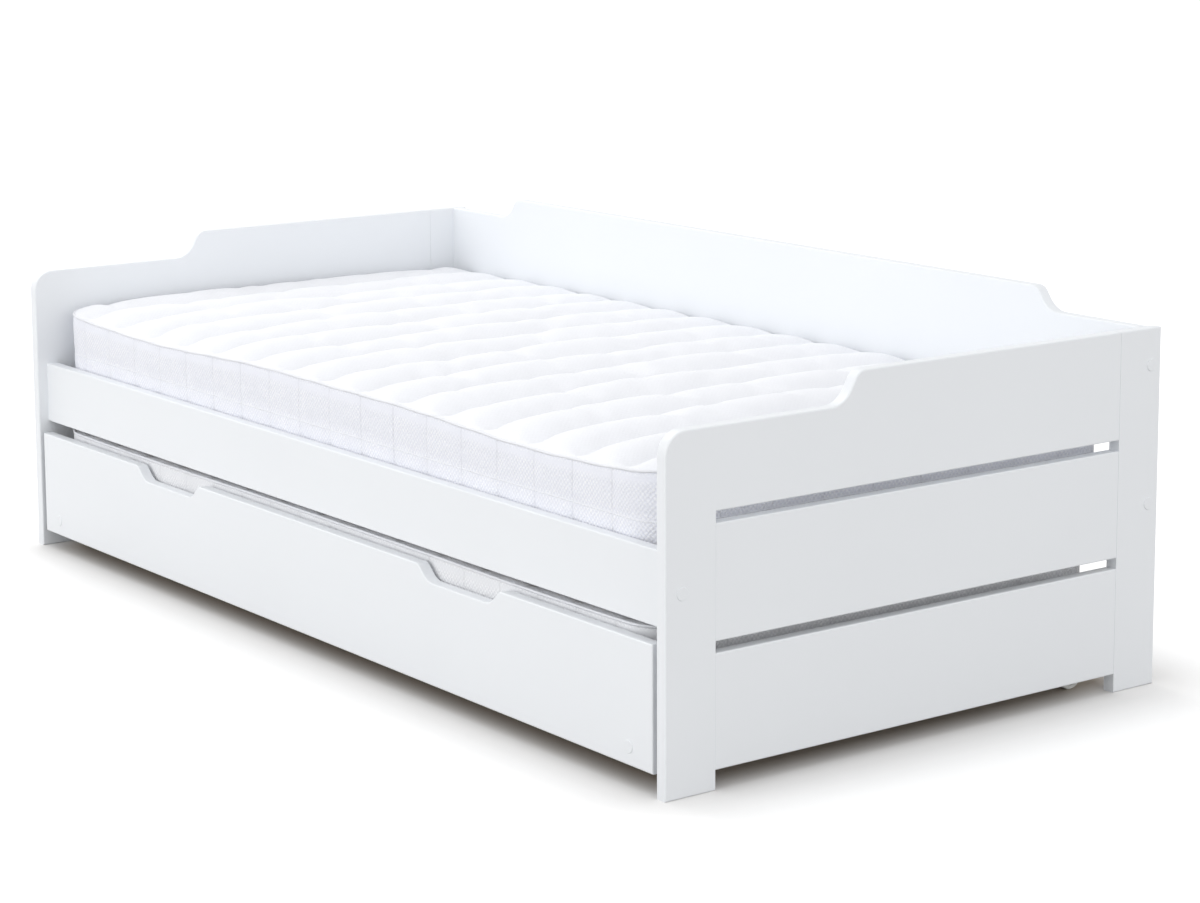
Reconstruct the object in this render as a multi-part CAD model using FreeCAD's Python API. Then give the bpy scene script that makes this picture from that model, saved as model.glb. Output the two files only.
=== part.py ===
"""A single day bed with a rolling trundle under it, in millimetres.

X runs along the bed, with the right end at +X. The front, where the trundle pulls out, faces -Y.
Z is up from the floor. The origin is on the floor under the middle of the bed.
"""
import FreeCAD, Part
import math
import os

Vector = FreeCAD.Vector

# The upper mattress, which the bed is built round, and the room left round it
bed_mattress_length = 1885.0
bed_mattress_width = 900.0
bed_mattress_border = 145.0
bed_mattress_rise = 32.0
bed_mattress_shoulder = 110.0
shoulder_excess = 4.0
quilt_channel_pitch = 120.0
quilt_channel_depth = 11.0
bed_mattress_left_gap = 13.0
bed_mattress_right_gap = 30.0
bed_mattress_front_gap = 4.5
bed_mattress_back_gap = 13.5
mattress_corner_radius = 50.0
soft_clearance = 0.3

# Stock that the frame is cut from
panel_thickness = 21.0
edge_radius = 2.5
seam_chamfer = 0.6

# End panels: two posts with three boards between them
bed_height = 580.0
post_width = 90.0
foot_clearance = 30.0
slot_height = 17.0
front_drop = 49.0
front_corner_radius = 36.0
end_step_start = 303.0
end_step_angle = 61.0

# The S-shaped step that the ends and the back panel share
step_foot_radius = 45.0
step_head_radius = 22.0

# Back panel, side rails and the slats that they carry
back_rise = 39.0
back_step_start = 174.0
back_step_angle = 55.0
side_rail_setback = 19.5
back_setback = 10.5
side_rail_height = 112.0
side_rail_gap = 20.0
ledger_size = 22.0
ledger_end_gap = 6.0
slat_thickness = 12.0
slat_width = 80.0
slat_end_gap = 2.0
bed_slat_count = 12
bed_slat_margin = 20.0

# Trundle
trundle_setback = 2.0
trundle_side_gap = 12.0
trundle_rear_gap = 49.0
trundle_front_base = 32.0
trundle_front_height = 190.0
trundle_back_height = 100.0
trundle_side_height = 60.0
trundle_side_inset = 45.0
trundle_ledger_size = 20.0
trundle_slat_count = 10
trundle_slat_margin = 7.0
trundle_mattress_inset = 24.0
trundle_mattress_gap = 3.0
trundle_mattress_headroom = 10.7

# Finger notches in the top edge of the trundle front
notch_spacing = 924.0
notch_width = 236.0
notch_depth = 24.5
notch_angle = 42.0
notch_foot_radius = 35.0
notch_head_radius = 15.0

# Castors on the trundle's sides
wheel_radius = 25.0
wheel_width = 18.0
wheel_hub_radius = 9.0
wheel_rim_depth = 6.0
wheel_recess = 3.0
wheel_edge_chamfer = 1.5
axle_radius = 3.0
running_clearance = 0.05
axle_head_radius = 5.5
axle_head_height = 2.0
bracket_steel = 2.0
bracket_side_gap = 2.0
bracket_top_gap = 5.0
bracket_plate_height = 54.0
bracket_plate_width = 44.0
bracket_nose_radius = 11.0
bracket_screw_radius = 2.2
bracket_screw_margin = 12.0
castor_front_inset = 48.0
castor_rear_inset = 58.0

# Fasteners
bolt_shank_radius = 3.0
bolt_head_radius = 8.0
bolt_head_height = 3.0
bolt_length = 68.0
bolt_hole_clearance = 0.5
socket_radius = 2.3
socket_depth = 2.0
counterbore_depth = 4.0
cap_radius = 10.0
cap_height = 1.4
cap_edge_chamfer = 0.8
nut_radius = 5.0
nut_length = 15.0
nut_setback = 42.0
fit_clearance = 0.1
back_bolt_drop = 59.0
dowel_radius = 4.0
dowel_length = 40.0
dowel_post_depth = 12.0
board_dowel_margin = 36.0
dowel_from_bolt = 35.0
trundle_screw_height = 60.0
trundle_screw_length = 66.0

# Places worked out from the sizes above
bed_length = bed_mattress_left_gap + bed_mattress_length + bed_mattress_right_gap + 2 * panel_thickness
bed_width = (
    side_rail_setback + panel_thickness + bed_mattress_front_gap + bed_mattress_width
    + bed_mattress_back_gap + panel_thickness + back_setback
)
front_y = -bed_width / 2
rear_y = bed_width / 2
end_outer_x = bed_length / 2
end_inner_x = end_outer_x - panel_thickness
end_middle_x = end_outer_x - panel_thickness / 2
front_height = bed_height - front_drop
board_height = (bed_height - foot_clearance - 2 * slot_height) / 3
board_pitch = board_height + slot_height
board_front_y = front_y + post_width
board_rear_y = rear_y - post_width
rail_front_y = front_y + side_rail_setback
rail_rear_y = rear_y - back_setback - panel_thickness
side_rail_base = trundle_front_base + trundle_front_height + side_rail_gap
rail_top = side_rail_base + side_rail_height
bolt_z = side_rail_base + side_rail_height / 2
back_bolt_z = bed_height - back_bolt_drop
slat_base = side_rail_base + (side_rail_height - 2 * slat_thickness) / 2
bed_mattress_base = slat_base + slat_thickness + soft_clearance
trundle_y = front_y + trundle_setback
trundle_rear_y = rear_y - trundle_rear_gap
trundle_front_x = end_inner_x - trundle_side_gap
trundle_side_x = trundle_front_x - trundle_side_inset
trundle_side_middle_x = trundle_side_x - panel_thickness / 2
trundle_side_top = trundle_front_base + trundle_side_height
trundle_mattress_base = trundle_side_top + slat_thickness + soft_clearance
trundle_mattress_top = side_rail_base - trundle_mattress_headroom
trundle_mattress_x = trundle_front_x - trundle_mattress_inset
castor_x = trundle_side_x + bracket_steel + bracket_side_gap + wheel_width / 2
castor_ys = {
    "front": trundle_y + panel_thickness + castor_front_inset,
    "rear": trundle_rear_y - panel_thickness - castor_rear_inset,
}
sides = {"left": -1, "right": 1}


def box(x_range, y_range, z_range):
    """A block between three pairs of limits."""
    low = Vector(x_range[0], y_range[0], z_range[0])
    high = Vector(x_range[1], y_range[1], z_range[1])
    size = high - low
    return Part.makeBox(size.x, size.y, size.z, low)


def cylinder(radius, start, direction, length):
    """A round bar from start, along direction."""
    return Part.makeCylinder(radius, length, start, direction)


def rounded(solid, radius, wanted):
    """The solid with each edge rounded whose middle passes the test."""
    return solid.makeFillet(radius, [edge for edge in solid.Edges if wanted(edge)])


def chamfered(solid, size, wanted):
    """The solid with each edge chamfered whose middle passes the test."""
    return solid.makeChamfer(size, [edge for edge in solid.Edges if wanted(edge)])


def near(value, target):
    """True if two lengths agree."""
    return abs(value - target) < 0.01


def across_x(edge):
    """True for an edge that stays in one plane of constant X."""
    return near(edge.BoundBox.XLength, 0)


def across_y(edge):
    """True for an edge that stays in one plane of constant Y."""
    return near(edge.BoundBox.YLength, 0)


def on_end_plane(place):
    """Maps a point drawn as (along the bed's width, up) onto the inner face of the right end."""
    return Vector(end_inner_x, place[0], place[1])


def on_length_plane(y):
    """Returns a mapping of points drawn as (along the bed, up) onto the plane at y."""
    return lambda place: Vector(place[0], y, place[1])


def step_points(start, rise, forward, foot_radius, head_radius, angle_degrees):
    """An S-shaped step in a plane, as the seven points of its foot arc, its slope and its head arc.

    It leaves start level, turns up through the angle on the foot radius, runs straight, and turns
    level again on the head radius, one rise higher. forward is 1 or -1, the way it goes along.
    """
    angle = math.radians(angle_degrees)
    turned = (foot_radius + head_radius) * (1 - math.cos(angle))
    slope = (rise - turned) / math.sin(angle)
    foot_run = foot_radius * math.sin(angle)
    run = foot_run + slope * math.cos(angle) + head_radius * math.sin(angle)

    def on_foot(turn):
        return (foot_radius * math.sin(turn), foot_radius * (1 - math.cos(turn)))

    def on_head(turn):
        return (run - head_radius * math.sin(turn), rise - head_radius * (1 - math.cos(turn)))

    drawn = [
        (0, 0),
        on_foot(angle / 2),
        on_foot(angle),
        on_head(angle),
        on_head(angle / 2),
        (run, rise),
    ]
    return [(start[0] + forward * along, start[1] + up) for along, up in drawn]


def step_edges(points, place):
    """The foot arc, slope and head arc through a step's points."""
    foot = [place(point) for point in points[:3]]
    head = [place(point) for point in points[3:]]
    return [
        Part.Arc(*foot).toShape(),
        Part.makeLine(foot[2], head[0]),
        Part.Arc(*head).toShape(),
    ]


def straight_edges(points, place):
    """Straight edges through a list of points."""
    placed = [place(point) for point in points]
    return [Part.makeLine(one, two) for one, two in zip(placed, placed[1:])]


def plate(edges, thickness):
    """A flat plate: the outline that the edges close, carried along thickness."""
    wire = Part.Wire(Part.sortEdges(edges)[0])
    return Part.Face(wire).extrude(thickness)


def mirrored_in_x(solid):
    """The same piece at the bed's other end."""
    return solid.mirror(Vector(0, 0, 0), Vector(1, 0, 0))


def for_side(solid, side):
    """A piece drawn for the right end, or its mirror image for the left."""
    return solid if sides[side] > 0 else mirrored_in_x(solid)


# The frame's end panels -------------------------------------------------------------------------

def front_post():
    """The right end's front post, with its top corner rounded."""
    corner_z = front_height - front_corner_radius
    corner_y = front_y + front_corner_radius
    diagonal = front_corner_radius * (1 - math.sqrt(0.5))
    arc = Part.Arc(
        on_end_plane((front_y, corner_z)),
        on_end_plane((front_y + diagonal, front_height - diagonal)),
        on_end_plane((corner_y, front_height)),
    ).toShape()
    outline = [(corner_y, front_height), (board_front_y, front_height), (board_front_y, 0),
               (front_y, 0), (front_y, corner_z)]
    post = plate([arc] + straight_edges(outline, on_end_plane), Vector(panel_thickness, 0, 0))
    return rounded(
        post, edge_radius, lambda edge: across_x(edge) and not near(edge.CenterOfMass.y, board_front_y)
    )


def rear_post():
    """The right end's rear post."""
    post = box((end_inner_x, end_outer_x), (board_rear_y, rear_y), (0, bed_height))
    return rounded(
        post, edge_radius, lambda edge: across_x(edge) and not near(edge.CenterOfMass.y, board_rear_y)
    )


def end_board(level):
    """A plain board between the posts; level 0 is the lowest."""
    base = foot_clearance + level * board_pitch
    board = box((end_inner_x, end_outer_x), (board_front_y, board_rear_y), (base, base + board_height))
    board = rounded(board, edge_radius, lambda edge: near(edge.BoundBox.YLength, board_rear_y - board_front_y))
    return chamfered(board, seam_chamfer, upright_end_edge)


def upright_end_edge(edge):
    """True for an upright edge at either end of an end board."""
    middle = edge.CenterOfMass
    at_end = near(middle.y, board_front_y) or near(middle.y, board_rear_y)
    on_face = near(middle.x, end_inner_x) or near(middle.x, end_outer_x)
    return at_end and on_face and across_y(edge)


def top_board():
    """The highest end board, low in front and stepping up towards the rear."""
    base = foot_clearance + 2 * board_pitch
    step = step_points(
        (front_y + end_step_start, front_height),
        front_drop, 1, step_foot_radius, step_head_radius, end_step_angle,
    )
    outline = [step[-1], (board_rear_y, bed_height), (board_rear_y, base), (board_front_y, base),
               (board_front_y, front_height), step[0]]
    edges = step_edges(step, on_end_plane) + straight_edges(outline, on_end_plane)
    board = plate(edges, Vector(panel_thickness, 0, 0))
    board = rounded(
        board, edge_radius,
        lambda edge: across_x(edge)
        and not near(edge.CenterOfMass.y, board_front_y)
        and not near(edge.CenterOfMass.y, board_rear_y),
    )
    return chamfered(
        board, seam_chamfer,
        lambda edge: upright_end_edge(edge) and near(edge.CenterOfMass.y, board_rear_y),
    )


# The frame's long pieces ------------------------------------------------------------------------

def side_rail(y):
    """A rail between the ends, its inner or outer face at y and its thickness towards +Y."""
    rail = box((-end_inner_x, end_inner_x), (y, y + panel_thickness), (side_rail_base, rail_top))
    return rounded(rail, edge_radius, lambda edge: near(edge.BoundBox.XLength, 2 * end_inner_x))


def back_panel():
    """The panel behind the mattress, raised in the middle with a step at each end."""
    base = foot_clearance + 2 * board_pitch
    place = on_length_plane(rail_rear_y)
    step_x = end_inner_x - back_step_start
    steps = [
        step_points((side * step_x, bed_height), back_rise, -side,
                    step_foot_radius, step_head_radius, back_step_angle)
        for side in sides.values()
    ]
    left, right = steps
    outline_low = [left[0], (-end_inner_x, bed_height), (-end_inner_x, base), (end_inner_x, base),
                   (end_inner_x, bed_height), right[0]]
    edges = step_edges(left, place) + step_edges(right, place)
    edges += straight_edges(outline_low, place) + straight_edges([left[-1], right[-1]], place)
    panel = plate(edges, Vector(0, panel_thickness, 0))
    return rounded(
        panel, edge_radius,
        lambda edge: across_y(edge) and not near(abs(edge.CenterOfMass.x), end_inner_x),
    )


def ledger(y_range, half_length, top, size):
    """A batten under the slats' ends, with its lower edges eased."""
    batten = box((-half_length, half_length), y_range, (top - size, top))
    return rounded(
        batten, edge_radius,
        lambda edge: near(edge.BoundBox.XLength, 2 * half_length) and near(edge.CenterOfMass.z, top - size),
    )


def slat(x, y_range, base):
    """A slat across the bed, with its long upper edges rounded."""
    half = slat_width / 2
    blank = box((x - half, x + half), y_range, (base, base + slat_thickness))
    return rounded(
        blank, edge_radius,
        lambda edge: near(edge.CenterOfMass.z, base + slat_thickness) and near(edge.BoundBox.XLength, 0),
    )


def slat_centres(half_span, count):
    """Evenly spaced slat middles whose outer edges reach half_span."""
    reach = half_span - slat_width / 2
    return [-reach + 2 * reach * index / (count - 1) for index in range(count)]


def mattress(x_range, y_range, z_range):
    """The simple solid of a mattress, with its upright corners rounded."""
    block = box(x_range, y_range, z_range)
    return rounded(
        block, mattress_corner_radius, lambda edge: near(edge.BoundBox.ZLength, z_range[1] - z_range[0])
    )


def quilted_mattress(x_range, y_range, base):
    """A mattress whose top rises from its border over a shoulder and is quilted in channels across it."""
    border = base + bed_mattress_border
    crest = border + bed_mattress_rise
    block = mattress(x_range, y_range, (base, crest))
    rolls = block.common(quilt_along(x_range, y_range, base, border, crest))
    return rolls.common(quilt_across(x_range, y_range, base, border, crest)).Solids[0]


def quilt_along(x_range, y_range, base, border, crest):
    """The mattress seen from the front: one arched roll from each quilting seam to the next."""
    valley = crest - quilt_channel_depth
    length = x_range[1] - x_range[0]
    middle = (x_range[0] + x_range[1]) / 2
    count = round(length / quilt_channel_pitch)
    seams = [middle + (number - count / 2) * quilt_channel_pitch for number in range(1, count)]
    stops = [(x_range[0], border)] + [(x, valley) for x in seams] + [(x_range[1], border)]
    place = on_length_plane(y_range[0])
    rolls = [
        Part.Arc(place(start), place(((start[0] + end[0]) / 2, crest)), place(end)).toShape()
        for start, end in zip(stops, stops[1:])
    ]
    outline = [stops[-1], (x_range[1], base), (x_range[0], base), stops[0]]
    return plate(rolls + straight_edges(outline, place), Vector(0, y_range[1] - y_range[0], 0))


def quilt_across(x_range, y_range, base, border, crest):
    """The mattress seen from its end: a shoulder that rises from each side and ends level above the rolls."""

    def place(point):
        return Vector(x_range[0], point[0], point[1])

    front, back = y_range
    top = crest + shoulder_excess
    rise = top - border
    radius = (bed_mattress_shoulder ** 2 + rise ** 2) / (2 * rise)
    inward = 0.4 * bed_mattress_shoulder
    bulge = top - radius + math.sqrt(radius ** 2 - (bed_mattress_shoulder - inward) ** 2)
    front_shoulder = [(front, border), (front + inward, bulge), (front + bed_mattress_shoulder, top)]
    back_shoulder = [(back - bed_mattress_shoulder, top), (back - inward, bulge), (back, border)]
    arcs = [Part.Arc(*[place(point) for point in points]).toShape() for points in (front_shoulder, back_shoulder)]
    lines = [(back, border), (back, base), (front, base), (front, border)]
    edges = arcs + straight_edges([front_shoulder[-1], back_shoulder[0]], place) + straight_edges(lines, place)
    return plate(edges, Vector(x_range[1] - x_range[0], 0, 0))


# The trundle's boards ---------------------------------------------------------------------------

def trundle_front():
    """The trundle's front board, with two finger notches scooped from its top edge."""
    place = on_length_plane(trundle_y)
    top = trundle_front_base + trundle_front_height
    floor = top - notch_depth
    run = step_points((0, 0), notch_depth, 1, notch_foot_radius, notch_head_radius, notch_angle)[-1][0]
    floor_half = notch_width / 2 - run
    edges = []
    top_corners = [-trundle_front_x]
    for middle in (-notch_spacing / 2, notch_spacing / 2):
        falling, rising = [
            step_points((middle + way * floor_half, floor), notch_depth, way,
                        notch_foot_radius, notch_head_radius, notch_angle)
            for way in (-1, 1)
        ]
        edges += step_edges(falling, place) + step_edges(rising, place)
        edges += straight_edges([falling[0], rising[0]], place)
        top_corners += [falling[-1][0], rising[-1][0]]
    top_corners.append(trundle_front_x)
    for start, end in zip(top_corners[::2], top_corners[1::2]):
        edges += straight_edges([(start, top), (end, top)], place)
    low = [(-trundle_front_x, top), (-trundle_front_x, trundle_front_base),
           (trundle_front_x, trundle_front_base), (trundle_front_x, top)]
    edges += straight_edges(low, place)
    return rounded(plate(edges, Vector(0, panel_thickness, 0)), edge_radius, across_y)


def trundle_back():
    """The trundle's low back board, which also keeps its mattress in place."""
    board = box(
        (-trundle_side_x, trundle_side_x),
        (trundle_rear_y - panel_thickness, trundle_rear_y),
        (trundle_front_base, trundle_front_base + trundle_back_height),
    )
    return rounded(board, edge_radius, lambda edge: near(edge.BoundBox.XLength, 2 * trundle_side_x))


def trundle_side():
    """The right side of the trundle, from its front board to its back board."""
    y_range = (trundle_y + panel_thickness, trundle_rear_y - panel_thickness)
    board = box(
        (trundle_side_x - panel_thickness, trundle_side_x), y_range, (trundle_front_base, trundle_side_top)
    )
    return rounded(board, edge_radius, lambda edge: near(edge.BoundBox.YLength, y_range[1] - y_range[0]))


# Castors ----------------------------------------------------------------------------------------

def castor_bracket(y):
    """A pressed bracket: a plate on the trundle's side that turns over the wheel into a fork."""
    plate_x = trundle_side_x
    web_base = wheel_radius * 2 + bracket_top_gap
    outer_x = castor_x + wheel_width / 2 + bracket_side_gap
    half = bracket_plate_width / 2
    nose = bracket_nose_radius

    def cheek(x, top):
        def place(point):
            return Vector(x, y + point[0], point[1])
        arc = Part.Arc(
            place((-nose, wheel_radius)), place((0, wheel_radius - nose)), place((nose, wheel_radius))
        ).toShape()
        outline = [(nose, wheel_radius), (half, web_base), (half, top), (-half, top),
                   (-half, web_base), (-nose, wheel_radius)]
        return plate([arc] + straight_edges(outline, place), Vector(bracket_steel, 0, 0))

    web_top = web_base + bracket_steel
    web = box((plate_x, outer_x + bracket_steel), (y - half, y + half), (web_base, web_top))
    steel = cheek(plate_x, wheel_radius + bracket_plate_height).fuse([cheek(outer_x, web_top), web])
    steel = steel.removeSplitter()
    steel = rounded(
        steel, bracket_steel,
        lambda edge: near(edge.CenterOfMass.x, outer_x + bracket_steel) and near(edge.CenterOfMass.z, web_top),
    )
    start = Vector(plate_x - bracket_steel, y, wheel_radius)
    steel = steel.cut(cylinder(axle_radius, start, Vector(1, 0, 0), outer_x - plate_x + 4 * bracket_steel))
    for way in (-1, 1):
        hole = Vector(plate_x - bracket_steel, y + way * (half - bracket_screw_margin), screw_row_z())
        steel = steel.cut(cylinder(bracket_screw_radius, hole, Vector(1, 0, 0), 3 * bracket_steel))
    return steel


def screw_row_z():
    """The height of the two screws in a castor bracket's plate."""
    return wheel_radius + bracket_plate_height - bracket_screw_margin


def castor_axle(y):
    """The riveted pin that a castor's wheel turns on."""
    inner_x = trundle_side_x
    outer_x = castor_x + wheel_width / 2 + bracket_side_gap + bracket_steel
    along = Vector(1, 0, 0)
    pin = cylinder(axle_radius, Vector(inner_x, y, wheel_radius), along, outer_x - inner_x)
    inner_head = cylinder(
        axle_head_radius, Vector(inner_x - axle_head_height, y, wheel_radius), along, axle_head_height
    )
    outer_head = cylinder(axle_head_radius, Vector(outer_x, y, wheel_radius), along, axle_head_height)
    return pin.fuse([inner_head, outer_head]).removeSplitter()


def castor_wheel(y):
    """A moulded wheel: a rim with chamfered edges, a thin web and a hub that runs on the axle."""
    half = wheel_width / 2
    bore = axle_radius + running_clearance
    inner_rim = wheel_radius - wheel_rim_depth
    web_half = half - wheel_recess
    profile = [(half, bore), (half, wheel_hub_radius), (web_half, wheel_hub_radius),
               (web_half, inner_rim), (half, inner_rim), (half, wheel_radius), (-half, wheel_radius),
               (-half, inner_rim), (-web_half, inner_rim), (-web_half, wheel_hub_radius),
               (-half, wheel_hub_radius), (-half, bore), (half, bore)]

    def place(point):
        return Vector(castor_x + point[0], y, wheel_radius + point[1])

    section = Part.Face(Part.Wire(straight_edges(profile, place)))
    wheel = section.revolve(Vector(castor_x, y, wheel_radius), Vector(1, 0, 0), 360)
    return chamfered(wheel, wheel_edge_chamfer, lambda edge: near(edge.BoundBox.ZLength, 2 * wheel_radius))


# Fasteners --------------------------------------------------------------------------------------

class Joint:
    """A bolt from a face into the end of another board, by its head's place and direction."""

    def __init__(self, face, direction):
        self.face = face
        self.direction = direction

    def at(self, depth):
        """The point on the bolt's line that is depth below the face."""
        return self.face + self.direction * depth

    def head_hole(self):
        """The counterbore and clearance hole through the outer board."""
        bore = cylinder(bolt_head_radius + bolt_hole_clearance, self.at(0), self.direction, counterbore_depth)
        shank = cylinder(bolt_shank_radius + bolt_hole_clearance, self.at(0), self.direction, panel_thickness)
        return bore.fuse(shank)

    def shank_hole(self, length):
        """The hole in the inner board's end for a bolt of this length."""
        depth = counterbore_depth + length - panel_thickness + bolt_hole_clearance
        return cylinder(
            bolt_shank_radius + bolt_hole_clearance, self.at(panel_thickness), self.direction, depth
        )

    def nut_centre(self):
        """The middle of the barrel nut."""
        return self.at(panel_thickness + nut_setback)

    def bolt(self, length):
        """A flat-headed bolt with a hexagon socket, its head on the counterbore's floor."""
        head_top = self.at(counterbore_depth - bolt_head_height)
        head = cylinder(bolt_head_radius, head_top, self.direction, bolt_head_height)
        shank = cylinder(bolt_shank_radius, self.at(counterbore_depth), self.direction, length)
        return head.fuse(shank).removeSplitter().cut(self.socket(head_top))

    def socket(self, head_top):
        """The hexagon socket in a bolt's head."""
        turn = FreeCAD.Rotation(Vector(0, 0, 1), self.direction)
        corners = [
            head_top + turn.multVec(Vector(math.cos(angle), math.sin(angle), 0) * socket_radius)
            for angle in (math.pi / 3 * index for index in range(7))
        ]
        return Part.Face(Part.makePolygon(corners)).extrude(self.direction * socket_depth)

    def cap(self):
        """A push-in cap over the head, its edge chamfered where it stands proud."""
        plug_depth = counterbore_depth - bolt_head_height
        disc = cylinder(cap_radius, self.at(-cap_height), self.direction, cap_height)
        disc = chamfered(
            disc, cap_edge_chamfer, lambda edge: near(edge.CenterOfMass.distanceToPoint(self.at(-cap_height)), 0)
        )
        plug = cylinder(bolt_head_radius, self.at(0), self.direction, plug_depth)
        return disc.fuse(plug).removeSplitter()


def end_joints(side):
    """The bolts through one end's posts, by the long piece that each one holds."""
    outward = sides[side]
    inward = Vector(-outward, 0, 0)
    rail_middle = panel_thickness / 2
    places = {
        "front_rail": (rail_front_y + rail_middle, bolt_z),
        "back_rail": (rail_rear_y + rail_middle, bolt_z),
        "back_panel": (rail_rear_y + rail_middle, back_bolt_z),
    }
    return {
        name: Joint(Vector(outward * end_outer_x, y, z), inward) for name, (y, z) in places.items()
    }


def trundle_joints(side):
    """The screws through the trundle's front and back boards into one side board."""
    x = sides[side] * trundle_side_middle_x
    return {
        "trundle_front": Joint(Vector(x, trundle_y, trundle_screw_height), Vector(0, 1, 0)),
        "trundle_back": Joint(Vector(x, trundle_rear_y, trundle_screw_height), Vector(0, -1, 0)),
    }


def barrel_nut(joint):
    """A round cross nut, bored for its bolt."""
    centre = joint.nut_centre()
    body = cylinder(nut_radius, centre - Vector(0, nut_length / 2, 0), Vector(0, 1, 0), nut_length)
    bolt_bore = cylinder(
        bolt_shank_radius + running_clearance, centre - joint.direction * nut_radius * 2,
        joint.direction, nut_radius * 4,
    )
    return body.cut(bolt_bore)


def nut_hole(joint, way_out):
    """The blind hole for a barrel nut, open on the board's rear face (1) or front face (-1)."""
    far = joint.nut_centre() - Vector(0, way_out * nut_length / 2, 0)
    depth = (nut_length + panel_thickness) / 2
    return cylinder(nut_radius + fit_clearance, far, Vector(0, way_out, 0), depth)


def dowel(centre, direction, inset, grow):
    """A dowel across a joint's face at centre, inset deep in the piece it points into."""
    start = centre + direction * (inset + grow) - direction * (dowel_length + 2 * grow)
    return cylinder(dowel_radius + grow, start, direction, dowel_length + 2 * grow)


def board_dowels(level, grow):
    """The dowels between one right end board and its posts, or their holes if grow is a clearance."""
    base = foot_clearance + level * board_pitch
    tops = {board_front_y: base + board_height, board_rear_y: base + board_height}
    if level == 2:
        tops[board_front_y] = front_height
    return [
        dowel(Vector(end_middle_x, y, z), Vector(0, 1, 0), dowel_length / 2, grow)
        for y, top in tops.items()
        for z in (base + board_dowel_margin, top - board_dowel_margin)
    ]


def rail_dowels(side, name, grow):
    """The dowels beside one long piece's bolt, or their holes if grow is a clearance."""
    joint = end_joints(side)[name]
    face = joint.at(panel_thickness)
    return [
        dowel(face + Vector(0, 0, way * dowel_from_bolt), joint.direction * -1, dowel_post_depth, grow)
        for way in (-1, 1)
    ]


# Putting it together ----------------------------------------------------------------------------

def drilled(solid, holes):
    """The solid less a list of holes."""
    return solid.cut(holes) if holes else solid


def end_pieces(side):
    """One end panel: its five boards, drilled, by node name."""
    rails = {"front_post": ["front_rail"], "rear_post": ["back_rail", "back_panel"]}
    joints = end_joints(side)
    boards = {
        "front_post": front_post(), "rear_post": rear_post(),
        "bottom_board": end_board(0), "middle_board": end_board(1), "top_board": top_board(),
    }
    levels = {"bottom_board": [0], "middle_board": [1], "top_board": [2]}
    pieces = {}
    for name, solid in boards.items():
        holes = [
            for_side(hole, side)
            for level in levels.get(name, [0, 1, 2])
            for hole in board_dowels(level, fit_clearance)
            if hole.BoundBox.intersect(solid.BoundBox)
        ]
        for rail in rails.get(name, []):
            holes.append(joints[rail].head_hole())
            holes += rail_dowels(side, rail, fit_clearance)
        pieces[side + "_" + name] = drilled(for_side(solid, side), holes)
    return pieces


def long_pieces():
    """The rails and the back panel, drilled for their bolts, nuts and dowels."""
    blanks = {
        "front_rail": (side_rail(rail_front_y), 1),
        "back_rail": (side_rail(rail_rear_y), -1),
        "back_panel": (back_panel(), 1),
    }
    pieces = {}
    for name, (solid, way_out) in blanks.items():
        holes = []
        for side in sides:
            joint = end_joints(side)[name]
            holes += [joint.shank_hole(bolt_length), nut_hole(joint, way_out)]
            holes += rail_dowels(side, name, fit_clearance)
        pieces[name] = drilled(solid, holes)
    return pieces


def bed_base_pieces():
    """The ledgers, slats and mattress of the upper bed."""
    half = end_inner_x - ledger_end_gap
    front_face = rail_front_y + panel_thickness
    pieces = {
        "front_slat_ledger": ledger((front_face, front_face + ledger_size), half, slat_base, ledger_size),
        "back_slat_ledger": ledger((rail_rear_y - ledger_size, rail_rear_y), half, slat_base, ledger_size),
    }
    y_range = (front_face + slat_end_gap, rail_rear_y - slat_end_gap)
    for number, x in enumerate(slat_centres(end_inner_x - bed_slat_margin, bed_slat_count), 1):
        pieces["bed_slat_%02d" % number] = slat(x, y_range, slat_base)
    low_x = -end_inner_x + bed_mattress_left_gap
    low_y = front_face + bed_mattress_front_gap
    pieces["bed_mattress"] = quilted_mattress(
        (low_x, low_x + bed_mattress_length),
        (low_y, low_y + bed_mattress_width),
        bed_mattress_base,
    )
    return pieces


def trundle_pieces():
    """The trundle's boards, ledgers, slats and mattress."""
    front_face = trundle_y + panel_thickness
    back_face = trundle_rear_y - panel_thickness
    pieces = {}
    for name, solid in (("trundle_front", trundle_front()), ("trundle_back", trundle_back())):
        pieces[name] = drilled(solid, [trundle_joints(side)[name].head_hole() for side in sides])
    for side in sides:
        holes = [joint.shank_hole(trundle_screw_length) for joint in trundle_joints(side).values()]
        pieces["trundle_side_" + side] = drilled(for_side(trundle_side(), side), holes)
    half = trundle_side_x - panel_thickness
    size = trundle_ledger_size
    top = trundle_side_top
    pieces["trundle_front_ledger"] = ledger((front_face, front_face + size), half, top, size)
    pieces["trundle_back_ledger"] = ledger((back_face - size, back_face), half, top, size)
    y_range = (front_face + slat_end_gap, back_face - slat_end_gap)
    for number, x in enumerate(slat_centres(half - trundle_slat_margin, trundle_slat_count), 1):
        pieces["trundle_slat_%02d" % number] = slat(x, y_range, top)
    pieces["trundle_mattress"] = mattress(
        (-trundle_mattress_x, trundle_mattress_x),
        (front_face + trundle_mattress_gap, back_face - trundle_mattress_gap),
        (trundle_mattress_base, trundle_mattress_top),
    )
    return pieces


def castor_pieces():
    """Four castors: a bracket and a wheel each, with their axles as one group."""
    pieces = {}
    axles = []
    for end, y in castor_ys.items():
        for side in sides:
            name = "_%s_%s" % (end, side)
            pieces["castor_bracket" + name] = for_side(castor_bracket(y), side)
            pieces["castor_wheel" + name] = for_side(castor_wheel(y), side)
            axles.append(for_side(castor_axle(y), side))
    pieces["castor_axles"] = Part.makeCompound(axles)
    return pieces


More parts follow.
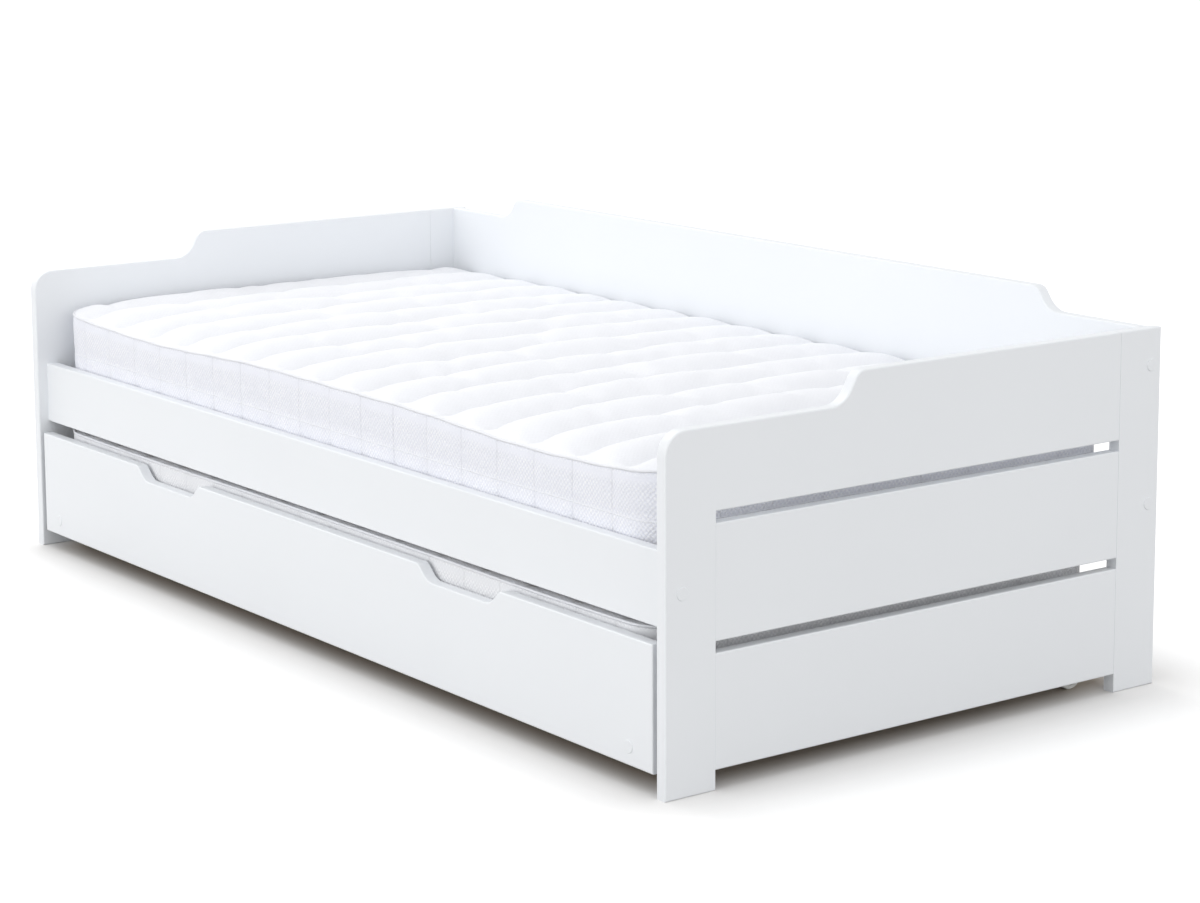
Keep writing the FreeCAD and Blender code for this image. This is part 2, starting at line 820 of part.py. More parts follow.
def fastener_pieces():
    """The bolts, nuts, dowels, screws and caps, each kind as one group."""
    frame_joints = [joint for side in sides for joint in end_joints(side).values()]
    screw_joints = [joint for side in sides for joint in trundle_joints(side).values()]
    dowels = []
    for side in sides:
        for level in range(3):
            dowels += [for_side(one, side) for one in board_dowels(level, 0)]
        for name in end_joints(side):
            dowels += rail_dowels(side, name, 0)
    groups = {
        "connector_bolts": [joint.bolt(bolt_length) for joint in frame_joints],
        "barrel_nuts": [barrel_nut(joint) for joint in frame_joints],
        "frame_caps": [joint.cap() for joint in frame_joints],
        "frame_dowels": dowels,
        "trundle_screws": [joint.bolt(trundle_screw_length) for joint in screw_joints],
        "trundle_caps": [joint.cap() for joint in screw_joints],
    }
    return {name: Part.makeCompound(solids) for name, solids in groups.items()}


def main():
    """Builds every piece and writes one STEP file for each."""
    pieces = {}
    for side in sides:
        pieces.update(end_pieces(side))
    pieces.update(long_pieces())
    pieces.update(bed_base_pieces())
    pieces.update(trundle_pieces())
    pieces.update(castor_pieces())
    pieces.update(fastener_pieces())
    os.makedirs("parts", exist_ok=True)
    for name, shape in pieces.items():
        shape.exportStep("parts/%s.step" % name)
    print(len(pieces), "pieces")


main()
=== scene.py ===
"""Trundle bed: a white lacquered day bed frame, its rolling trundle and their two quilted mattresses."""

import math

import bpy
import numpy as np
from mathutils import Matrix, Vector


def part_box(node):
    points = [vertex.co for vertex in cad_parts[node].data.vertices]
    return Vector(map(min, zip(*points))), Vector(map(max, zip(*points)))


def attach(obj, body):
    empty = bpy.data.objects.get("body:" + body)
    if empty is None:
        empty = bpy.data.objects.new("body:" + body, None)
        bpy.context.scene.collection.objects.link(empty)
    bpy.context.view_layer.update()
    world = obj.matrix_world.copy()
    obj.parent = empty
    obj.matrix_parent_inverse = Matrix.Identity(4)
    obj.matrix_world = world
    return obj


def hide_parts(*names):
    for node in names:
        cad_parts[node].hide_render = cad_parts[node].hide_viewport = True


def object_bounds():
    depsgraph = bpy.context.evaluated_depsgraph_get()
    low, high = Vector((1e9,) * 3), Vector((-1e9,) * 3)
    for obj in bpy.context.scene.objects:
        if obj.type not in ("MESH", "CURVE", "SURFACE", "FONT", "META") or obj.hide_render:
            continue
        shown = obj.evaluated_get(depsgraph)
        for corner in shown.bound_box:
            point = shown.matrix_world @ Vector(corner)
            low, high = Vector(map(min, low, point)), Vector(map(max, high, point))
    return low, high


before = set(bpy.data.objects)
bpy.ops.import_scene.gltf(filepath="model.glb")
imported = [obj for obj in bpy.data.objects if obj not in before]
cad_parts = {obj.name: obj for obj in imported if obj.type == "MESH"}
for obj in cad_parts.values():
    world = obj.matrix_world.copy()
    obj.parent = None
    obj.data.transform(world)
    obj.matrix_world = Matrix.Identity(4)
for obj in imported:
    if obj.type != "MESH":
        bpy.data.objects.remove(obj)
cad_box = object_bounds()

bl_info = {
    "name": "Trundle Bed",
    "version": (1, 0, 0),
    "blender": (4, 5, 0),
    "location": "3D View > Sidebar > Trundle Bed",
    "description": "Finishes a white trundle bed, makes its mattresses and sets its studio",
    "category": "Object",
}

CORNERS = ("front_left", "front_right", "rear_left", "rear_right")
X, Y, Z = range(3)
FLOOR_REACH = 30.0

# The border's level seam, and where its knit gives way to the smooth band under the piping, as shares of its
# height; and how far in metres a seam is drawn in.
LEVEL_SEAM = 0.54
SMOOTH_BAND = (0.86, 0.93)
SEAM_RECESS = 0.0010


def colour_setting(name, description, default):
    """A colour that a user can change."""
    return bpy.props.FloatVectorProperty(
        name=name, description=description, subtype="COLOR", size=3, min=0.0, max=1.0, default=default
    )


def length_setting(name, description, default, precision=4):
    """A length that a user can change."""
    return bpy.props.FloatProperty(
        name=name, description=description, unit="LENGTH", precision=precision, default=default
    )


def angle_setting(name, description, degrees):
    """An angle that a user can change, its default given in degrees."""
    return bpy.props.FloatProperty(
        name=name, description=description, subtype="ANGLE", default=math.radians(degrees)
    )


def light_setting(name, description, default, unit="NONE"):
    """The power or the strength of a light that a user can change."""
    return bpy.props.FloatProperty(name=name, description=description, unit=unit, min=0.0, default=default)


class LacquerSettings(bpy.types.PropertyGroup):
    """The satin lacquer on the boards."""

    colour: colour_setting("Lacquer colour", "Colour of the satin lacquer", (0.84, 0.863, 0.892))
    roughness: bpy.props.FloatProperty(
        name="Lacquer roughness",
        description="How matt the lacquer is",
        subtype="FACTOR",
        min=0.0,
        max=1.0,
        default=0.42,
    )
    grain_height: length_setting(
        "Grain height", "How far the wood grain stands up through the lacquer", 0.00005, precision=6
    )


class TimberSettings(bpy.types.PropertyGroup):
    """The bare wood of the slats, the ledgers and the dowels."""

    early_wood: colour_setting("Early wood", "Colour of the pale bands of the pine", (0.72, 0.52, 0.30))
    late_wood: colour_setting("Late wood", "Colour of the dark bands of the pine", (0.50, 0.29, 0.12))
    ring_width: length_setting("Ring width", "Distance between two growth rings across a board", 0.007)


class FittingSettings(bpy.types.PropertyGroup):
    """The castors, the bolts and the small screws."""

    steel_colour: colour_setting("Steel colour", "Colour of the zinc plated steel", (0.58, 0.59, 0.61))
    nylon_colour: colour_setting("Nylon colour", "Colour of the castor wheels", (0.74, 0.74, 0.71))
    screw_head_radius: length_setting(
        "Screw head radius", "Radius of the heads that hold the slats and the castor brackets", 0.0038
    )


class MattressSettings(bpy.types.PropertyGroup):
    """The quilted cover that both mattresses have."""

    cover_colour: colour_setting("Cover colour", "Colour of the knitted cover", (0.882, 0.894, 0.932))
    # The open knit's own colour, partly, and partly painted shade of its knit: it is a little darker and
    # bluer than the cover.
    border_colour: colour_setting(
        "Border colour", "Colour of the open knit round the upper mattress", (0.850, 0.866, 0.935)
    )
    # Painted shade: the trundle mattress's knit is the upper one's fabric, made darker and greyer for the
    # shade it lies in under the bed.
    trundle_border_shaded_colour: colour_setting(
        "Trundle border colour", "Colour of the open knit round the trundle mattress", (0.80, 0.81, 0.835)
    )
    channel_pitch: length_setting("Channel pitch", "Distance between two quilting seams on the top", 0.120)
    channel_depth: length_setting(
        "Channel depth", "How far a quilting seam lies below the padding beside it", 0.0145
    )
    panel_pitch: length_setting(
        "Border panel pitch", "Distance between two upright seams round the border", 0.0975
    )
    first_panel: length_setting(
        "First border seam", "Distance from the left end to the first upright seam of the front", 0.105
    )
    corner_radius: length_setting("Corner radius", "Radius of the corners seen from above", 0.075)
    border_bow: length_setting("Border bow", "How far the border bows out between its edges", 0.003)
    base_tuck: length_setting("Base tuck", "How far the base lies in from the top's outline", 0.006)
    piping_radius: length_setting("Piping radius", "Radius of the cord in the piped edges", 0.0024)
    knit_width: length_setting("Knit width", "Width of one knitted cell of the border", 0.0080)
    seam_width: length_setting(
        "Border seam width", "Half the width of the furrow that a seam of the border lies in", 0.0018
    )
    swell_limit: length_setting(
        "Swell limit", "Most that the upper mattress's padding may move when it is filled", 0.006
    )


class StageSettings(bpy.types.PropertyGroup):
    """The floor, the lamps and the camera."""

    floor_colour: colour_setting(
        "Floor colour", "Colour of the light that the floor sends back to the bed", (0.46, 0.452, 0.442)
    )
    shadow_colour: colour_setting(
        "Shadow colour", "Colour of the floor, to the eye, where it runs in under the bed", (0.42, 0.36, 0.30)
    )
    key_power: light_setting("Key lamp", "Power of the large low lamp before the bed", 75.0, "POWER")
    right_power: light_setting("Right lamp", "Power of the large low lamp off the right end", 43.0, "POWER")
    left_power: light_setting("Left lamp", "Power of the large high lamp off the left end", 84.0, "POWER")
    wall_strength: light_setting("Wall light", "Strength of the room's light at eye level", 0.96)
    ceiling_strength: light_setting("Ceiling light", "Strength of the room's light straight above", 0.84)
    camera_place: bpy.props.FloatVectorProperty(
        name="Camera place",
        description="Where the camera stands",
        subtype="TRANSLATION",
        unit="LENGTH",
        size=3,
        default=(4.184, -2.985, 1.350),
    )
    camera_heading: angle_setting(
        "Camera heading", "Direction the camera looks in, turned left from the bed's depth", 53.37
    )
    camera_tilt: angle_setting("Camera tilt", "How far the camera looks down", 9.01)
    camera_roll: angle_setting("Camera roll", "How far the camera leans", -0.22)
    camera_lens: bpy.props.FloatProperty(
        name="Camera lens",
        description="Focal length of the camera",
        unit="CAMERA",
        default=89.71,
    )
    camera_rise: bpy.props.FloatProperty(
        name="Camera rise",
        description="Upward shift of the lens, as a share of the picture's width",
        default=-0.12,
    )


class BedSettings(bpy.types.PropertyGroup):
    """All the settings of the bed."""

    lacquer: bpy.props.PointerProperty(type=LacquerSettings)
    timber: bpy.props.PointerProperty(type=TimberSettings)
    fittings: bpy.props.PointerProperty(type=FittingSettings)
    mattress: bpy.props.PointerProperty(type=MattressSettings)
    stage: bpy.props.PointerProperty(type=StageSettings)


class Graph:
    """A tree of shader nodes, built up node by node."""

    def __init__(self, tree):
        self.tree = tree
        tree.nodes.clear()

    def add(self, kind, *inputs, **settings):
        """Adds a node, sets its options and fills its sockets in order; None leaves a socket alone."""
        node = self.tree.nodes.new("ShaderNode" + kind)
        for option, value in settings.items():
            setattr(node, option, value)
        for socket, value in zip(node.inputs, inputs):
            if isinstance(value, bpy.types.NodeSocket):
                self.tree.links.new(value, socket)
            elif value is not None:
                socket.default_value = value
        return node.outputs[0]

    def math(self, operation, *inputs):
        """One sum on up to three numbers."""
        return self.add("Math", *inputs, operation=operation)

    def ranged(self, value, low, high, new_low=0.0, new_high=1.0):
        """A number moved from one range to another, held inside the new one."""
        return self.add("MapRange", value, low, high, new_low, new_high)

    def axes(self, vector):
        """The three numbers of a vector."""
        return self.add("SeparateXYZ", vector).node.outputs

    def output(self, kind, shader):
        """Adds the tree's output, with the shader as its surface."""
        node = self.tree.nodes.new("ShaderNodeOutput" + kind)
        self.tree.links.new(shader, node.inputs["Surface"])

    def to_the_eye(self):
        """1 for rays that come from the camera, from a mirror or through glass, and 0 for the rest."""
        rays = self.tree.nodes.new("ShaderNodeLightPath").outputs
        seen = self.math("MAXIMUM", rays["Is Camera Ray"], rays["Is Glossy Ray"])
        return self.math("MAXIMUM", seen, rays["Is Transmission Ray"])


class Finish(Graph):
    """A material with one principled shader."""

    def __init__(self, name, **surface):
        self.material = bpy.data.materials.new(name)
        self.material.use_nodes = True
        super().__init__(self.material.node_tree)
        self.shader = self.tree.nodes.new("ShaderNodeBsdfPrincipled")
        for socket, value in surface.items():
            self.shader.inputs[socket.replace("_", " ")].default_value = value
        self.output("Material", self.shader.outputs[0])

    def feed(self, name, value):
        """Links a value to one of the shader's inputs."""
        self.tree.links.new(value, self.shader.inputs[name])

    def place(self, scale=(1, 1, 1)):
        """Object coordinates, scaled."""
        coordinates = self.tree.nodes.new("ShaderNodeTexCoord").outputs["Object"]
        return self.add("Mapping", coordinates, None, None, scale)

    def cloth(self):
        """The places along and up the cloth, in metres, from the piece's own map."""
        return self.axes(self.add("UVMap", uv_map="cloth"))

    def noise(self, vector, scale, detail=3.0, roughness=0.5, distortion=0.0):
        """Fractal noise from 0 to 1 on a vector."""
        node = self.add("TexNoise", vector).node
        node.inputs["Scale"].default_value = scale
        node.inputs["Detail"].default_value = detail
        node.inputs["Roughness"].default_value = roughness
        node.inputs["Distortion"].default_value = distortion
        return node.outputs[0]

    def blend(self, factor, first, second):
        """A colour that goes from the first to the second as the factor goes from 0 to 1."""
        node = self.tree.nodes.new("ShaderNodeMix")
        node.data_type = "RGBA"
        colours = [socket for socket in node.inputs if socket.type == "RGBA"]
        self.tree.links.new(factor, node.inputs[0])
        for socket, value in zip(colours, (first, second)):
            if isinstance(value, bpy.types.NodeSocket):
                self.tree.links.new(value, socket)
            else:
                socket.default_value = (*value, 1.0)
        return [socket for socket in node.outputs if socket.type == "RGBA"][0]

    def relief(self, *layers):
        """Feeds the shader's normal with bumps laid over each other.

        Each is a height and what a height of 1 stands for, in metres.
        """
        normal = None
        for height, depth in layers:
            node = self.add("Bump", 1.0, depth).node
            self.tree.links.new(height, node.inputs["Height"])
            if normal is not None:
                self.tree.links.new(normal, node.inputs["Normal"])
            normal = node.outputs[0]
        self.feed("Normal", normal)


def shaded(colour, share):
    """The colour made darker by a share."""
    return tuple(channel * share for channel in colour[:3])


def lacquer_finish(name, settings, along):
    """Satin lacquer over pine, with a faint orange peel and a soft change of tone.

    The grain is noise that is drawn out along one axis.
    """
    finish = Finish(name, IOR=1.48)
    grain_scale = [55.0, 55.0, 55.0]
    grain_scale[along] = 2.2
    grain = finish.noise(finish.place(grain_scale), 3.0, 4.0, 0.55, 0.6)
    peel = finish.noise(finish.place(), 420.0, 2.0)
    tone = finish.noise(finish.place(), 2.3, 2.0)
    colour = tuple(settings.colour)
    finish.feed("Base Color", finish.blend(finish.ranged(tone, 0.3, 0.7), shaded(colour, 0.985), colour))
    sheen = finish.ranged(grain, 0.2, 0.8, settings.roughness - 0.05, settings.roughness + 0.06)
    finish.feed("Roughness", sheen)
    finish.relief((grain, settings.grain_height), (peel, 0.00002))
    return finish.material


def pine_finish(name, settings, along, across):
    """Planed pine, with scattered knots: growth rings as bent bands across the board, drawn out along it."""
    finish = Finish(name, Roughness=0.62)
    scale = [1.0, 1.0, 1.0]
    scale[along] = 0.07
    place = finish.place(scale)
    sway = finish.noise(place, 9.0)
    fibre_scale = [900.0, 900.0, 900.0]
    fibre_scale[along] = 22.0
    fibre = finish.noise(finish.place(fibre_scale), 1.0)
    phase = finish.math("MULTIPLY_ADD", sway, 0.085, finish.axes(place)[across])
    rings = finish.math("FRACT", finish.math("DIVIDE", phase, settings.ring_width))
    late = finish.math("POWER", rings, 2.6)
    knot_scale = [9.0, 9.0, 9.0]
    knot_scale[along] = 4.5
    knots = finish.add("TexVoronoi", finish.place(knot_scale), None, 1.0)
    knot = finish.ranged(knots, 0.03, 0.075, 1.0, 0.0)
    early_wood = tuple(settings.early_wood)
    late_wood = tuple(settings.late_wood)
    wood = finish.blend(finish.math("MULTIPLY", late, 0.62), early_wood, late_wood)
    wood = finish.blend(finish.ranged(fibre, 0.35, 0.75, 0.0, 0.28), wood, shaded(late_wood, 0.9))
    finish.feed("Base Color", finish.blend(knot, wood, shaded(late_wood, 0.45)))
    finish.relief((fibre, 0.00008), (late, 0.00006))
    return finish.material


def steel_finish(name, settings):
    """Zinc plated steel: a spangled bright metal with fine rolling marks."""
    finish = Finish(name, Metallic=1.0)
    colour = tuple(settings.steel_colour)
    spangle = finish.noise(finish.place(), 240.0, 2.0)
    marks = finish.noise(finish.place((60.0, 60.0, 1400.0)), 1.0, 2.0)
    finish.feed("Base Color", finish.blend(spangle, shaded(colour, 0.82), colour))
    finish.feed("Roughness", finish.ranged(spangle, 0.3, 0.7, 0.24, 0.42))
    finish.relief((marks, 0.00001))
    return finish.material


def moulded_finish(name, colour, roughness):
    """Moulded plastic: a nearly even colour with a fine matt texture."""
    finish = Finish(name, IOR=1.5)
    tone = finish.noise(finish.place(), 60.0, 2.0)
    texture = finish.noise(finish.place(), 1500.0, 2.0)
    finish.feed("Base Color", finish.blend(tone, shaded(colour, 0.96), colour))
    finish.feed("Roughness", finish.ranged(texture, 0.3, 0.7, roughness - 0.06, roughness + 0.08))
    finish.relief((texture, 0.00001))
    return finish.material


def knit_finish(name, settings, colour, depth, hollows, loops, seams=None):
    """Knitted cover: a diamond lattice of raised loops with small hollows between them, over the cloth's map.

    The height of a loop is the mean of two cosine waves that cross at the knit's angle, and fine noise
    roughens it. Hollows and loops say how much painted shade darkens the cloth's hollows and how much painted
    highlight lightens its loops. Seams, where given, are the pitch of the upright ones, where the first one
    lies, and the height of the level one; a seam's furrow gets painted shade and the level welt a painted
    highlight.
    """
    along_turn = 2 * math.pi / settings.knit_width
    up_turn = 2 * math.pi / (settings.knit_width * 1.1)
    finish = Finish(name, Roughness=0.86, Sheen_Weight=0.22, Sheen_Roughness=0.45)
    cloth = finish.cloth()
    wander = finish.noise(finish.place(), 110.0, 3.0, 0.8)
    along = finish.math("MULTIPLY_ADD", wander, 8.0, finish.math("MULTIPLY", cloth[X], along_turn))
    up = finish.math("MULTIPLY", cloth[Y], up_turn)
    rising = finish.math("COSINE", finish.math("ADD", along, up))
    falling = finish.math("COSINE", finish.math("SUBTRACT", along, up))
    lattice = finish.math("MULTIPLY_ADD", finish.math("ADD", rising, falling), 0.25, 0.5)
    fuzz = finish.noise(finish.place(), 900.0, 2.0)
    uneven = finish.noise(finish.place(), 300.0, 2.0)
    patch = finish.noise(finish.place(), 18.0, 3.0)
    smooth = finish.add("Attribute", attribute_name="smooth").node.outputs["Fac"]
    open_knit = finish.math("SUBTRACT", 1.0, smooth)
    height = finish.math("MULTIPLY", lattice, open_knit)
    patchy = finish.ranged(patch, 0.3, 0.7, 0.45, 1.0)
    hollow = finish.math("SUBTRACT", 1.0, finish.ranged(lattice, 0.12, 0.62))
    hollow = finish.math("MULTIPLY", finish.math("MULTIPLY", hollow, open_knit), patchy)
    loop = finish.math("MULTIPLY_ADD", finish.math("SUBTRACT", uneven, 0.5), 1.7, lattice)
    loop = finish.math("MULTIPLY", finish.ranged(loop, 0.55, 0.85), open_knit)
    loop = finish.math("MULTIPLY", loop, patchy)
    tint = finish.blend(finish.ranged(patch, 0.35, 0.65), shaded(colour, 0.985), tuple(colour))
    # Painted shade: the hollows between the knit's loops are darkened towards half the cloth's colour.
    tint = finish.blend(finish.math("MULTIPLY", hollow, hollows), tint, shaded(colour, 0.5))
    # Painted highlight: the raised loops are lightened towards near white.
    tint = finish.blend(finish.math("MULTIPLY", loop, loops), tint, (0.97, 0.975, 0.99))
    layers = [(height, depth), (fuzz, 0.00008)]
    if seams:
        pitch, first, level = seams
        across = finish.math("PINGPONG", finish.math("SUBTRACT", cloth[X], first), pitch / 2)
        furrow = finish.ranged(across, 0.0, settings.seam_width, 1.0, 0.0)
        above = finish.math("ABSOLUTE", finish.math("SUBTRACT", cloth[Y], level))
        welt = finish.ranged(above, 0.0, settings.seam_width, 1.0, 0.0)
        # Painted shade in each upright seam's furrow, darkened towards half the cloth's colour; its bump is a
        # real furrow.
        tint = finish.blend(finish.math("MULTIPLY", furrow, 0.13), tint, shaded(colour, 0.5))
        # Painted highlight along the level seam's raised welt; its bump is a real welt.
        tint = finish.blend(finish.math("MULTIPLY", welt, 0.6), tint, (0.94, 0.955, 0.99))
        layers.append((finish.math("SUBTRACT", welt, furrow), 0.0006))
    finish.feed("Base Color", tint)
    finish.relief(*layers)
    return finish.material


def piping_finish(name, settings):
    """Piped edge: a closely woven bias tape, its threads slanting round the cord as cosine waves."""
    thread_pitch = 0.0016
    colour = tuple(settings.cover_colour)
    finish = Finish(name, Roughness=0.8, Sheen_Weight=0.2)
    cloth = finish.cloth()
    slant = finish.math("ADD", cloth[X], cloth[Y])
    thread = finish.math("COSINE", finish.math("MULTIPLY", slant, 2 * math.pi / thread_pitch))
    level = finish.math("MULTIPLY_ADD", thread, 0.5, 0.5)
    finish.feed("Base Color", finish.blend(level, shaded(colour, 0.93), colour))
    finish.relief((level, 0.00012))
    return finish.material


def dress(nodes, material):
    """Gives the CAD nodes a material in each of their slots."""
    for name in nodes:
        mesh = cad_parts[name].data
        if not mesh.materials:
            mesh.materials.append(material)
        for index in range(len(mesh.materials)):
            mesh.materials[index] = material


def new_piece(name, body, points, faces, material):
    """Makes a mesh piece from an array of points and a list of faces, and lets it ride on a body."""
    mesh = bpy.data.meshes.new(name)
    mesh.from_pydata(points.tolist(), [], faces)
    mesh.materials.append(material)
    mesh.polygons.foreach_set("use_smooth", np.ones(len(mesh.polygons), bool))
    piece = bpy.data.objects.new(name, mesh)
    bpy.context.scene.collection.objects.link(piece)
    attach(piece, body)
    return piece


def map_cloth(piece, places, strip=None, first=0):
    """Writes each face corner's place on the cloth, in metres, to the piece's own map.

    A corner takes its point's place, and the faces from the first one on take theirs from the strip instead.
    """
    mesh = piece.data
    corners = np.empty(len(mesh.loops), int)
    mesh.loops.foreach_get("vertex_index", corners)
    spots = places[corners]
    if strip is not None:
        spots[4 * first: 4 * first + len(strip)] = strip
    layer = mesh.uv_layers.new(name="cloth")
    layer.data.foreach_set("uv", spots.ravel())


def cell_corners(grid):
    """The four corners of each cell of a grid, in order round it."""
    return np.stack([grid[:-1, :-1], grid[1:, :-1], grid[1:, 1:], grid[:-1, 1:]], axis=2)


def grid_faces(rows, turned=False):
    """The four-cornered faces between neighbours of a grid of point numbers, turned over if asked."""
    quads = cell_corners(rows)
    return (quads[..., ::-1] if turned else quads).reshape(-1, 4)


def closed(rows, axis=1):
    """The grid with its first column, or first row, repeated after its last one."""
    return np.concatenate([rows, rows.take([0], axis)], axis)


def rim(rows):
    """The point numbers round the edge of a grid, anticlockwise from its first row's first column."""
    return np.concatenate([rows[:, 0], rows[-1, 1:], rows[-2::-1, -1], rows[0, -2:0:-1]])


def unit(vectors):
    """The vectors at a length of 1."""
    return vectors / np.linalg.norm(vectors, axis=-1, keepdims=True)


def level_out(loop):
    """The level direction out of an anticlockwise loop, at each of its points."""
    step = np.roll(loop, -1, 0) - np.roll(loop, 1, 0)
    return unit(np.stack([step[:, 1], -step[:, 0], np.zeros(len(step))], axis=-1))


def run_round(loop):
    """How far it is round a closed loop from its first point to each one, and back to the first."""
    length = np.linalg.norm(np.roll(loop, -1, 0) - loop, axis=1)
    return np.concatenate([[0.0], np.cumsum(length)])


def smoothstep(value, low, high):
    """Rises from 0 to 1 between two limits as 3t^2 - 2t^3."""
    share = np.clip((value - low) / (high - low), 0.0, 1.0)
    return share * share * (3.0 - 2.0 * share)


class Quilt:
    """The form of a quilted mattress, as functions of a place seen from above.

    The outline is a rectangle with round corners, and d is the distance in from it. The top rises from its
    piped edge to the crest as 1 - (s exp(-d / near) + (1 - s) exp(-(d / far)^2)), and falls at each quilting
    seam as 1 - |sin(pi t)|^0.7, where t counts channels from the first seam.

    The edge lies below the crest by its drop, in waves of the given height, and rises by the lifts at the
    middle of each end and along the rear. The reach is how far in a seam lies at its full depth, and the
    swell is the most that the filling may move the top.
    """

    near_share = 0.75
    near_reach = 0.028
    far_reach = 0.2

    def __init__(self, low, high, settings, crest, drop, wave, reach, swell, end_lift=0.0, rear_lift=0.0):
        self.low = np.array(low)
        self.high = np.array(high)
        self.centre = (self.low + self.high) / 2
        self.half = (self.high - self.low) / 2
        self.settings = settings
        self.crest = crest
        self.edge_level = crest - drop
        self.wave = wave
        self.reach = reach
        self.swell = swell
        self.end_lift = end_lift
        self.rear_lift = rear_lift
        self.inset = settings.border_bow
        self.radius = settings.corner_radius - self.inset
        channels = round(2 * self.half[0] / settings.channel_pitch)
        self.seams = self.centre[0] + (np.arange(1, channels) - channels / 2) * settings.channel_pitch

    def lengthwise(self, cells):
        """Places along the mattress: t - 0.11 sin(2 pi t) from seam to seam, and even round each corner."""
        crowding = 0.11
        corner_steps = 6
        reach = self.half[0] - self.inset
        ends = self.centre[0] - reach, self.centre[0] + reach
        turn = np.linspace(0, math.pi / 2, corner_steps + 1)[1:]
        left = ends[0] + self.radius * (1 - np.sin(turn[::-1]))
        right = ends[1] - self.radius * (1 - np.sin(turn))
        stops = np.concatenate([[ends[0] + self.radius], self.seams, [ends[1] - self.radius]])
        inner = []
        for start, end in zip(stops[:-1], stops[1:]):
            count = max(2, round(cells * (end - start) / self.settings.channel_pitch))
            share = np.arange(count) / count
            inner.append(start + (end - start) * (share - crowding * np.sin(2 * math.pi * share)))
        return np.concatenate([left, *inner, [stops[-1]], right])

    def half_width(self, x):
        """Half the mattress's width at x, less on the arcs of its corners."""
        over = np.clip(np.abs(x - self.centre[0]) - (self.half[0] - self.inset - self.radius), 0, self.radius)
        return self.half[1] - self.inset - self.radius + np.sqrt(self.radius ** 2 - over ** 2)

    def depth_in(self, x, y):
        """Distance in from the outline."""
        side = np.abs(x - self.centre[0]) - (self.half[0] - self.inset - self.radius)
        front = np.abs(y - self.centre[1]) - (self.half[1] - self.inset - self.radius)
        outside = np.hypot(np.maximum(side, 0), np.maximum(front, 0))
        return np.maximum(self.radius - (outside + np.minimum(np.maximum(side, front), 0)), 0)

    def edge(self, x, y):
        """Height of the piped edge, in two slow waves and a low ripple that follows the channels.

        The waves are calmer at the ends and the rear, and the corners are higher.
        """
        end_reach = 0.10
        corner_reach = 0.07
        along = x - self.centre[0]
        across = (y - self.centre[1]) / self.half[1]
        end = np.exp(-((self.half[0] - np.abs(along)) / end_reach) ** 2)
        level = self.edge_level + self.end_lift * end * np.clip(1 - across ** 2, 0, 1)
        level = level + self.rear_lift * (1 - end) * smoothstep(across, 0.5, 1.0)
        slow = np.cos(5.03 * along + 0.9 * (across + 1)) + 0.3 * np.sin(11.0 * along + 2.0 * across)
        ripple = 0.10 * np.cos(2 * math.pi * (x - self.seams[0]) / self.settings.channel_pitch)
        calm = (1 - 0.6 * end) * (1 - 0.75 * smoothstep(across, 0.4, 1.0))
        corner = np.hypot(np.abs(along) - self.half[0], np.abs(y - self.centre[1]) - self.half[1])
        return level + self.wave * ((slow + ripple) * calm + 1.1 * np.exp(-(corner / corner_reach) ** 2))

    def top(self, x, y):
        """Height of the quilted top, with a shallow gutter behind the piping at each end."""
        gutter_depth = 0.006
        gutter_place = 0.013
        gutter_width = 0.009
        longer_at_rear = 0.012
        inward = self.depth_in(x, y)
        near = np.exp(-inward / self.near_reach)
        far = np.exp(-(inward / self.far_reach) ** 2)
        fall = self.near_share * near + (1 - self.near_share) * far
        level = self.crest - (self.crest - self.edge(x, y)) * fall
        beside = smoothstep(np.abs(x - self.centre[0]), self.half[0] - 0.07, self.half[0] - 0.03)
        beside = beside * smoothstep(y, self.low[1] + 0.02, self.low[1] + 0.10)
        gutter = gutter_depth * beside * np.exp(-((inward - gutter_place) / gutter_width) ** 2)
        gutter = gutter * smoothstep(inward, 0.0, 0.006)
        turns = (x - self.seams[0]) / self.settings.channel_pitch
        turns = np.clip(turns, -0.5, len(self.seams) - 0.5)
        roll = np.abs(np.sin(math.pi * turns)) ** 0.7
        reach = self.reach + longer_at_rear * smoothstep(y, self.high[1] - 0.12, self.high[1] - 0.04)
        hollow = self.settings.channel_depth * smoothstep(inward / reach, 0.0, 1.0) * (1 - roll)
        unevenness = 0.0010 * np.sin(23 * x + 9 * y) + 0.0012 * np.sin(17 * y - 31 * x + 2.0)
        return level - hollow - gutter + unevenness * smoothstep(inward, 0.01, 0.08)

    def grid(self, cells, across):
        """The grid of the top's points: its columns keep to the seams, and its rows crowd at both long edges.

        A row lies at 0.6 sin(0.94 t pi / 2) / sin(0.94 pi / 2) + 0.4 t of the half width, for t from -1 to 1.
        """
        bend = 0.94
        crowded = 0.6
        x = self.lengthwise(cells)
        even = np.linspace(-1, 1, across)
        share = crowded * (np.sin(even * math.pi / 2 * bend) / math.sin(math.pi / 2 * bend))
        share = share + (1 - crowded) * even
        y = self.centre[1] + share * self.half_width(x)[:, None]
        x = np.broadcast_to(x[:, None], y.shape)
        return np.stack([x, y, self.top(x, y)], axis=-1)


def mesh_points(mesh):
    """The places of a mesh's points."""
    points = np.empty(len(mesh.vertices) * 3)
    mesh.vertices.foreach_get("co", points)
    return points.reshape(-1, 3)


